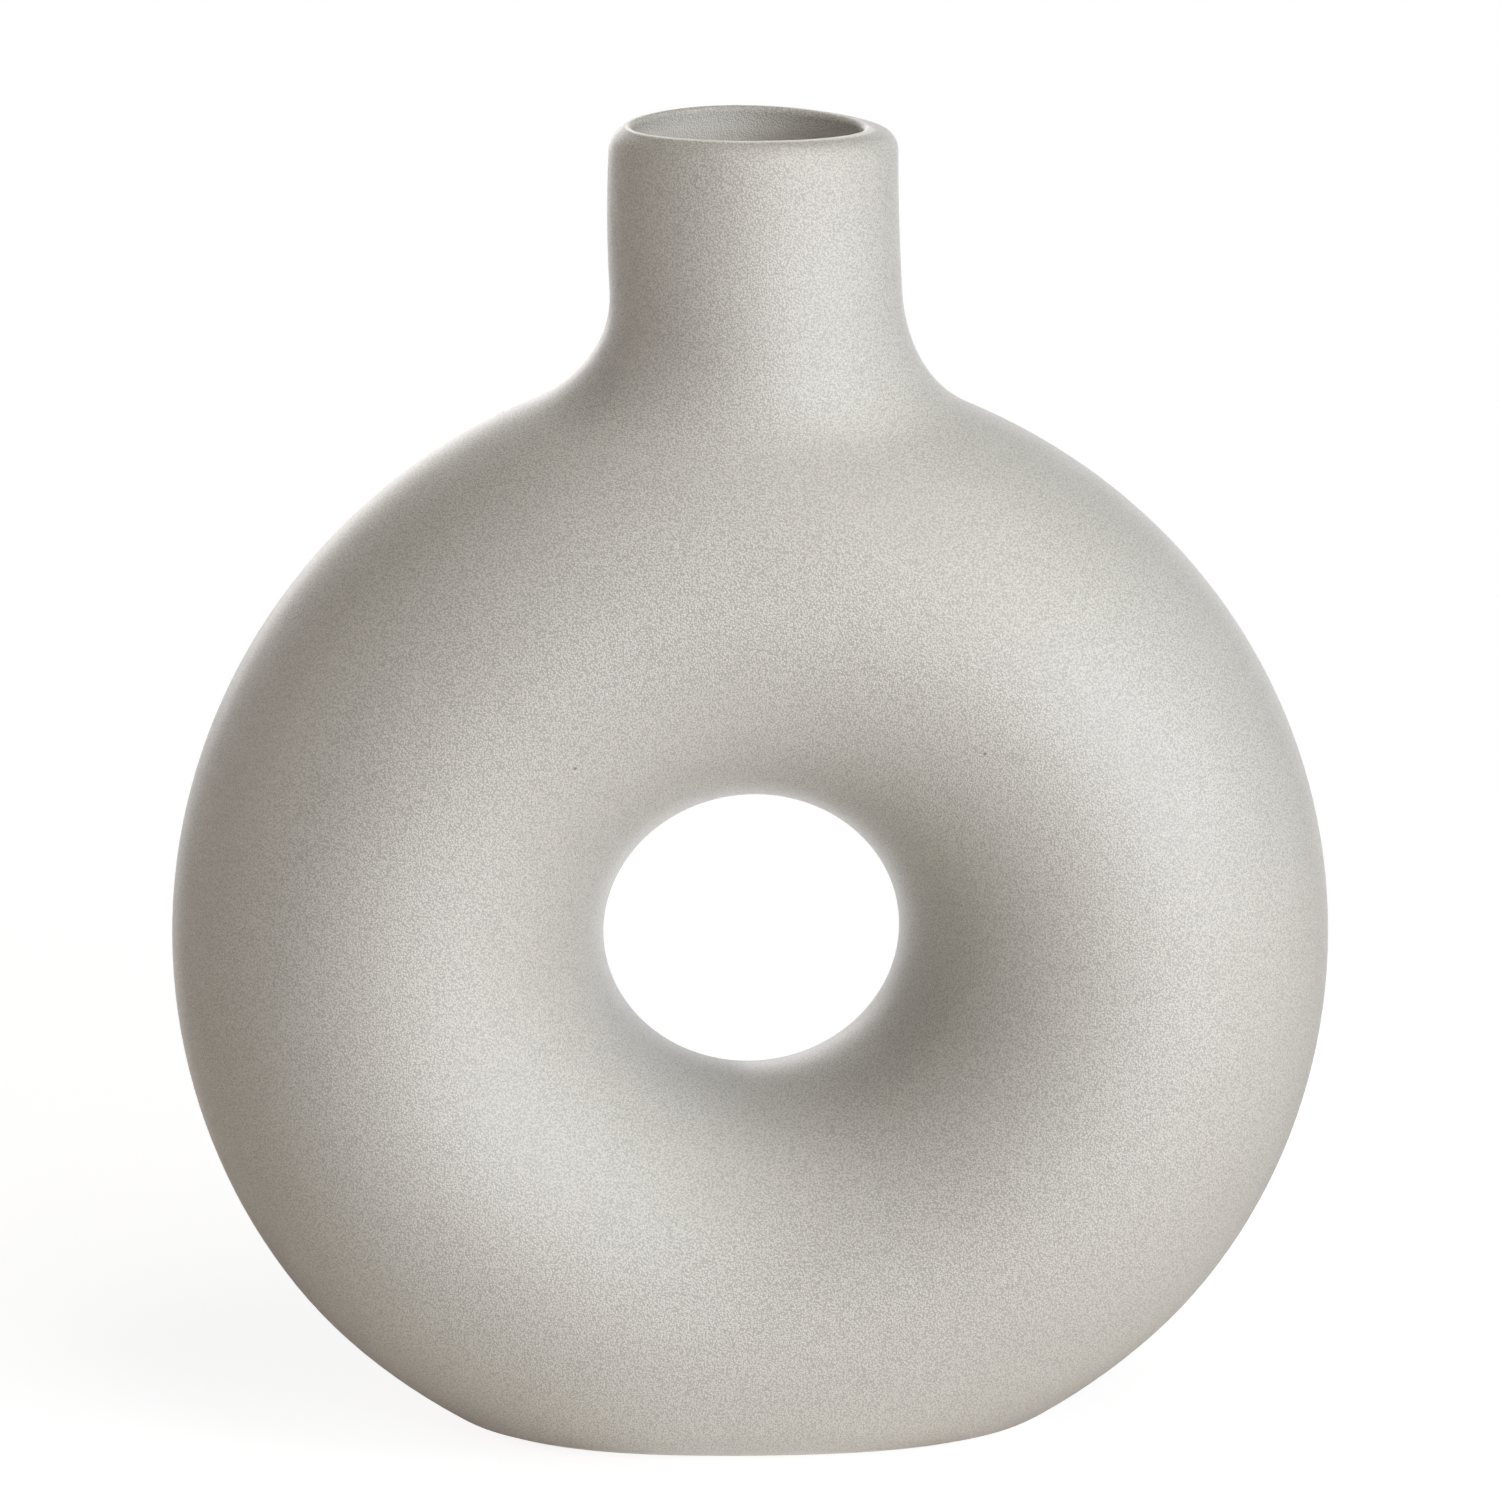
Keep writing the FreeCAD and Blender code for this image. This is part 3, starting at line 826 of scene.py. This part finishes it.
def seen_white(tree, in_gloss):
    """1 where the white is seen straight on or through glass, in_gloss where seen in gloss, else 0."""
    path = node(tree, "ShaderNodeLightPath").outputs
    seen = node(tree, "ShaderNodeMath", {0: path["Is Camera Ray"], 1: path["Is Transmission Ray"]},
                operation="MAXIMUM").outputs[0]
    gloss = node(tree, "ShaderNodeMath", {0: in_gloss, 1: path["Is Glossy Ray"]},
                 operation="MULTIPLY").outputs[0]
    return node(tree, "ShaderNodeMath", {0: seen, 1: gloss}, operation="MAXIMUM").outputs[0]


def floor_material():
    """A pale table that is seen as white, with the vase's shadow on it, and fades into the white room."""
    material, tree, shader = new_material("white table")
    link = tree.links.new
    shader.inputs["Base Color"].default_value = rgba(TABLE_COLOUR)
    shader.inputs["Roughness"].default_value = 0.9
    shader.inputs["Specular IOR Level"].default_value = 0.1
    lit = node(tree, "ShaderNodeBsdfDiffuse", {"Color": rgba(TABLE_LIT)})
    glow = node(tree, "ShaderNodeEmission", {"Strength": TABLE_GLOW})
    near = node(tree, "ShaderNodeAddShader", {0: lit.outputs[0], 1: glow.outputs[0]})
    white = node(tree, "ShaderNodeEmission", {"Strength": 1.0})
    place = node(tree, "ShaderNodeTexCoord").outputs["Object"]
    away = node(tree, "ShaderNodeVectorMath", {0: place}, operation="LENGTH").outputs["Value"]
    seen_part = node(tree, "ShaderNodeMixShader", {
        0: stretch(tree, away, *TABLE_FADE), 1: near.outputs[0], 2: white.outputs[0]})
    # In the gloss of the vase the table is white behind and in front of it, and plain at its sides
    direction = node(tree, "ShaderNodeVectorMath", {0: place}, operation="NORMALIZE").outputs["Vector"]
    backwards = node(tree, "ShaderNodeSeparateXYZ", {0: direction}).outputs["Y"]
    either_way = node(tree, "ShaderNodeMath", {0: backwards}, operation="ABSOLUTE").outputs[0]
    fore_and_aft = stretch(tree, either_way, *WHITE_IN_GLOSS)
    mix = node(tree, "ShaderNodeMixShader", {
        0: seen_white(tree, fore_and_aft), 1: shader.outputs["BSDF"], 2: seen_part.outputs[0]})
    output = next(one for one in tree.nodes if one.bl_idname == "ShaderNodeOutputMaterial")
    link(mix.outputs[0], output.inputs["Surface"])
    return material


def soft_lamp(name, studio):
    """A square soft lamp that looks at the middle of the vase."""
    power, heading, height, tint = LAMPS[name]
    heading, height = radians(heading), radians(height)
    lamp = bpy.data.lights.new(name, "AREA")
    lamp.shape = "SQUARE"
    lamp.size = studio.lamp_size
    lamp.energy = power * studio.light_level
    lamp.color = tint
    lamp_object = bpy.data.objects.new(name, lamp)
    bpy.context.scene.collection.objects.link(lamp_object)
    away = Vector((sin(heading) * cos(height), -cos(heading) * cos(height), sin(height)))
    lamp_object.location = VASE_MIDDLE + away * studio.lamp_distance
    lamp_object.rotation_euler = away.to_track_quat("Z", "Y").to_euler()


def make_camera(studio):
    """The camera of the photo: in front of the vase, somewhat above it and a little to its left."""
    camera = bpy.data.cameras.new("camera")
    camera.sensor_width = FILM_WIDTH
    camera.lens = studio.camera_lens / MM
    camera.clip_start = 0.01
    camera_object = bpy.data.objects.new("camera", camera)
    bpy.context.scene.collection.objects.link(camera_object)
    turn, rise = -studio.camera_turn, studio.camera_rise
    back = Vector((sin(turn) * cos(rise), -cos(turn) * cos(rise), sin(rise)))
    place = VASE_MIDDLE + back * studio.camera_distance
    # The vase stands a little low in the photo's frame, so the camera looks just above its middle
    up = Vector((-sin(turn) * sin(rise), cos(turn) * sin(rise), cos(rise)))
    side = Vector((cos(turn), sin(turn), 0))
    aim = VASE_MIDDLE + up * AIM_ABOVE - side * AIM_LEFT
    camera_object.location = place
    camera_object.rotation_euler = (place - aim).to_track_quat("Z", "Y").to_euler()
    bpy.context.scene.camera = camera_object


class VASE_OT_studio(bpy.types.Operator):
    """Make the white table, the soft lights and the camera"""
    bl_idname = "vase.studio"
    bl_label = "Studio"

    def execute(self, context):
        studio = context.scene.vase_studio
        scene = context.scene
        scene.view_settings.view_transform = "Standard"
        make_camera(studio)

        table = bmesh.new()
        bmesh.ops.create_grid(table, x_segments=1, y_segments=1, size=TABLE_HALF_WIDTH)
        mesh = bpy.data.meshes.new("white_table")
        table.to_mesh(mesh)
        table.free()
        mesh.materials.append(floor_material())
        floor = bpy.data.objects.new("white_table", mesh)
        scene.collection.objects.link(floor)

        world = bpy.data.worlds.new("white room")
        scene.world = world
        world.use_nodes = True
        tree = world.node_tree
        room = tree.nodes["Background"]
        room.inputs["Color"].default_value = (1, 1, 1, 1)
        # The room is white to the camera and through glass, and in gloss where it lies behind
        direction = node(tree, "ShaderNodeTexCoord").outputs["Generated"]
        backwards = node(tree, "ShaderNodeSeparateXYZ", {0: direction}).outputs["Y"]
        white = seen_white(tree, stretch(tree, backwards, *WHITE_IN_GLOSS))
        tree.links.new(stretch(tree, white, 0, 1, studio.room_light, 1.0), room.inputs["Strength"])

        for name in LAMPS:
            soft_lamp(name, studio)
        return {"FINISHED"}


class VASE_PT_panel(bpy.types.Panel):
    bl_label = "Donut vase"
    bl_idname = "VASE_PT_panel"
    bl_space_type = "VIEW_3D"
    bl_region_type = "UI"
    bl_category = "Donut vase"

    def draw(self, context):
        layout = self.layout
        for operator in PIECES:
            layout.operator(operator.bl_idname)
        for group in (context.scene.vase_sizes, context.scene.vase_finish, context.scene.vase_studio):
            box = layout.box()
            for name in group.__annotations__:
                box.prop(group, name)


PIECES = (VASE_OT_studio, VASE_OT_glazed_body, VASE_OT_bare_foot)
CLASSES = (VaseSizes, VaseFinish, VaseStudio, *PIECES, VASE_PT_panel)


def register():
    for kind in CLASSES:
        bpy.utils.register_class(kind)
    bpy.types.Scene.vase_sizes = bpy.props.PointerProperty(type=VaseSizes)
    bpy.types.Scene.vase_finish = bpy.props.PointerProperty(type=VaseFinish)
    bpy.types.Scene.vase_studio = bpy.props.PointerProperty(type=VaseStudio)


def unregister():
    del bpy.types.Scene.vase_studio
    del bpy.types.Scene.vase_finish
    del bpy.types.Scene.vase_sizes
    for kind in reversed(CLASSES):
        bpy.utils.unregister_class(kind)


def main():
    register()
    for operator in PIECES:
        group, name = operator.bl_idname.split(".")
        getattr(getattr(bpy.ops, group), name)()


if __name__ == "__main__":
    main()
